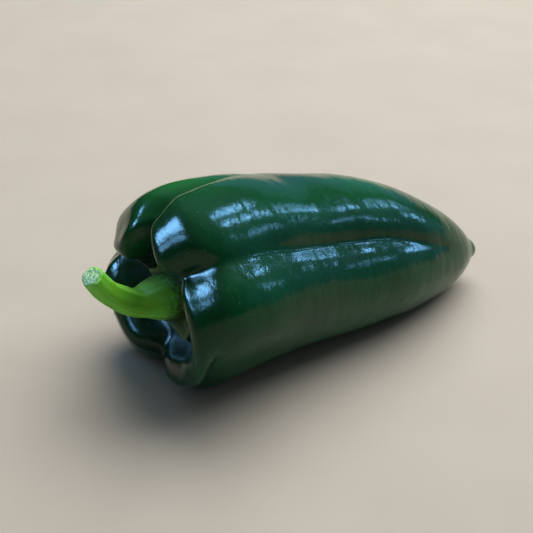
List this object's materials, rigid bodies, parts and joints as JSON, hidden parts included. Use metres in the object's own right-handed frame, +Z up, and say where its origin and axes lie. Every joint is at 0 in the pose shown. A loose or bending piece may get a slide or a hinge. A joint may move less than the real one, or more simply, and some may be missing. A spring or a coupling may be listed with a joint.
{
  "type": "poblano pepper",
  "caption": "Whole poblano pepper lying on its side: a lobed pod that tapers to a small point, with its curved stem and calyx.",
  "frame": {"origin": "middle of the bounding box, on the surface that the pepper lies on", "axes": "+X from the stem towards the tip, +Z up, -Y towards the side with the long furrow"},
  "size_m": [0.1331, 0.061, 0.0591],
  "materials": {
    "pod_skin": "waxy dark green skin, very glossy",
    "stem_skin": "yellow-green, satin, olive at the calyx"
  },
  "bodies": {
    "root": {"pod": "pod_skin", "stem_and_calyx": "stem_skin"}
  },
  "joints": []
}
